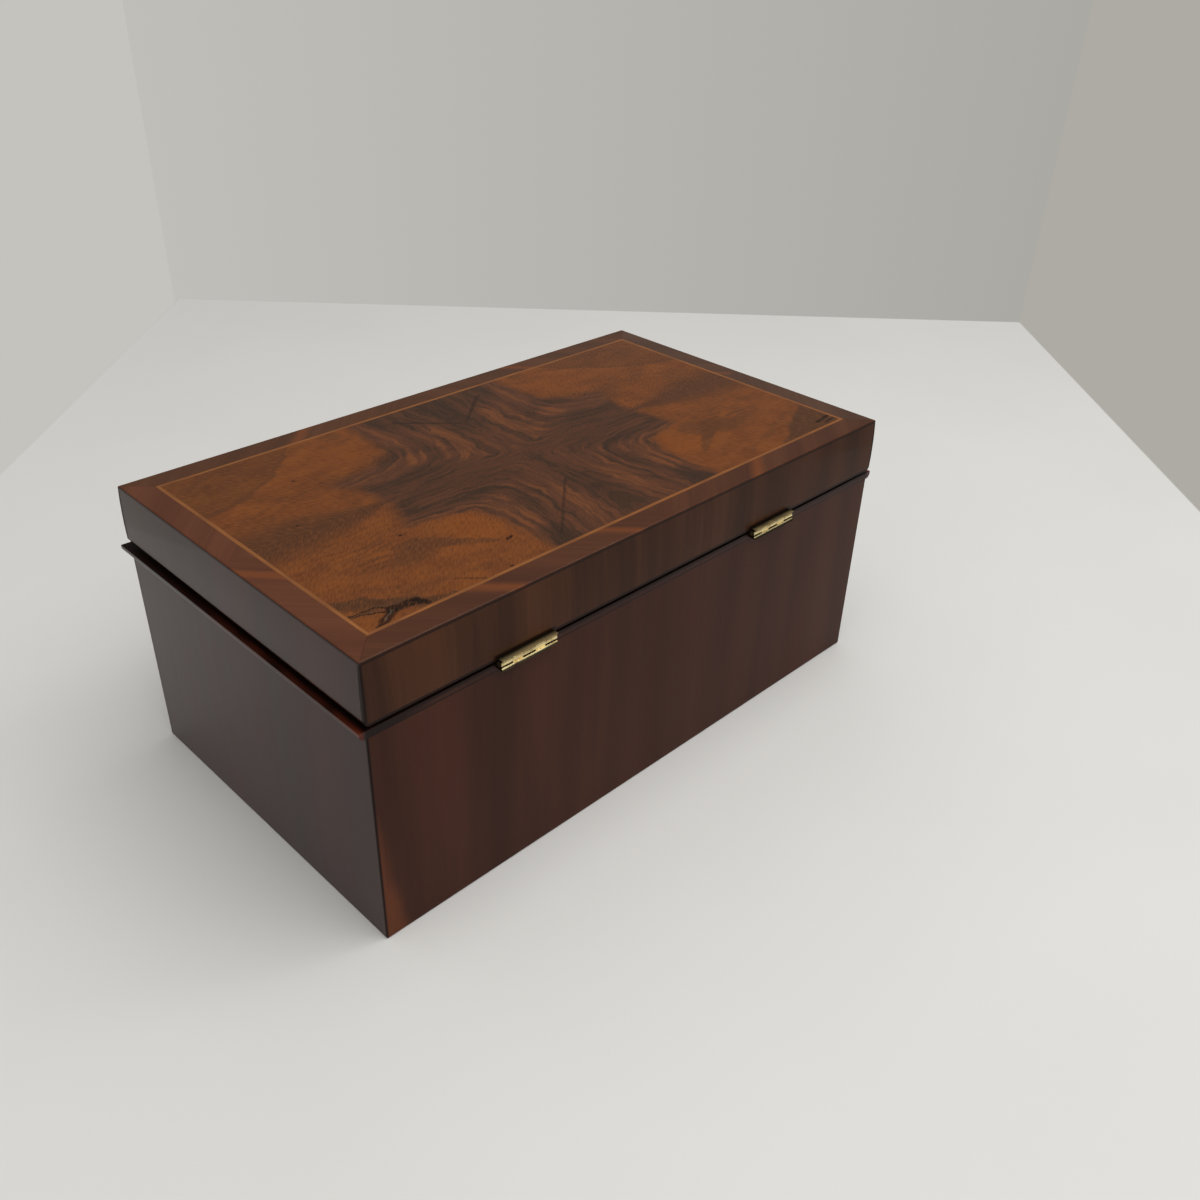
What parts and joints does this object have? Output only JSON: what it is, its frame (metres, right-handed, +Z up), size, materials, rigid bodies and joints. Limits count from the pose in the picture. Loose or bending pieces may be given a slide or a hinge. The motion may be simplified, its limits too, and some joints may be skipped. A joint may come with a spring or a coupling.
{
  "type": "veneered keepsake box",
  "caption": "Rectangular walnut-veneered box for papers and keepsakes, with a stop-hinged lid, inlaid line, rim moulding and box lock",
  "frame": {"origin": "centre of the body's underside, on the surface that the box stands on", "axes": "+X to the right seen from the front, +Y to the back, where the hinges are, +Z up"},
  "size_m": [0.3058, 0.1786, 0.131],
  "materials": {
    "figured_walnut": "French-polished quarter-matched figured walnut veneer",
    "crossband_walnut": "French-polished cross-grained walnut banding",
    "stringing": "French-polished boxwood line",
    "side_walnut": "French-polished walnut veneer, upright grain",
    "moulding_walnut": "polished solid walnut",
    "carcase_pine": "bare planed softwood",
    "lining_walnut": "waxed walnut lining",
    "velvet": "dark red cotton velvet over card",
    "hinge_brass": "aged polished brass",
    "lock_brass": "aged brass",
    "lock_steel": "filed iron"
  },
  "bodies": {
    "box": {"base_board": "carcase_pine", "front_board": "carcase_pine", "back_board": "carcase_pine", "left_board": "carcase_pine", "right_board": "carcase_pine", "front_veneer": "side_walnut", "back_veneer": "side_walnut", "left_veneer": "side_walnut", "right_veneer": "side_walnut", "front_moulding": "moulding_walnut", "left_moulding": "moulding_walnut", "right_moulding": "moulding_walnut", "back_edge_strip": "moulding_walnut", "floor_pad": "velvet", "front_lining": "lining_walnut", "back_lining": "lining_walnut", "left_lining": "lining_walnut", "right_lining": "lining_walnut", "left_hinge_body_leaf": "hinge_brass", "right_hinge_body_leaf": "hinge_brass", "body_hinge_screws": "hinge_brass", "lock_plate": "lock_brass", "lock_case": "lock_steel", "lock_screws": "lock_brass"},
    "lid": {"lid_panel": "carcase_pine", "lid_front_rail": "carcase_pine", "lid_back_rail": "carcase_pine", "lid_left_rail": "carcase_pine", "lid_right_rail": "carcase_pine", "lid_front_veneer": "side_walnut", "lid_back_veneer": "side_walnut", "lid_left_veneer": "side_walnut", "lid_right_veneer": "side_walnut", "lid_pad": "velvet", "lid_front_lining": "lining_walnut", "lid_back_lining": "lining_walnut", "lid_left_lining": "lining_walnut", "lid_right_lining": "lining_walnut", "front_crossband": "crossband_walnut", "back_crossband": "crossband_walnut", "left_crossband": "crossband_walnut", "right_crossband": "crossband_walnut", "front_stringing": "stringing", "back_stringing": "stringing", "left_stringing": "stringing", "right_stringing": "stringing", "front_left_field": "figured_walnut", "front_right_field": "figured_walnut", "back_left_field": "figured_walnut", "back_right_field": "figured_walnut", "left_hinge_lid_leaf": "hinge_brass", "right_hinge_lid_leaf": "hinge_brass", "left_hinge_pin": "hinge_brass", "right_hinge_pin": "hinge_brass", "lid_hinge_screws": "hinge_brass", "link_plate": "lock_brass", "link_screws": "lock_brass"},
    "lock_bolt": {"lock_bolt": "lock_steel"}
  },
  "joints": [
    {"name": "lid_hinge", "type": "hinge", "parent": "box", "child": "lid", "pos_m": [0, 0.0876, 0.1031], "axis": [-1, 0, 0], "range_deg": [0, 95]},
    {"name": "bolt_slide", "type": "slide", "parent": "box", "child": "lock_bolt", "axis": [1, 0, 0], "range_m": [0, 0.003]}
  ]
}
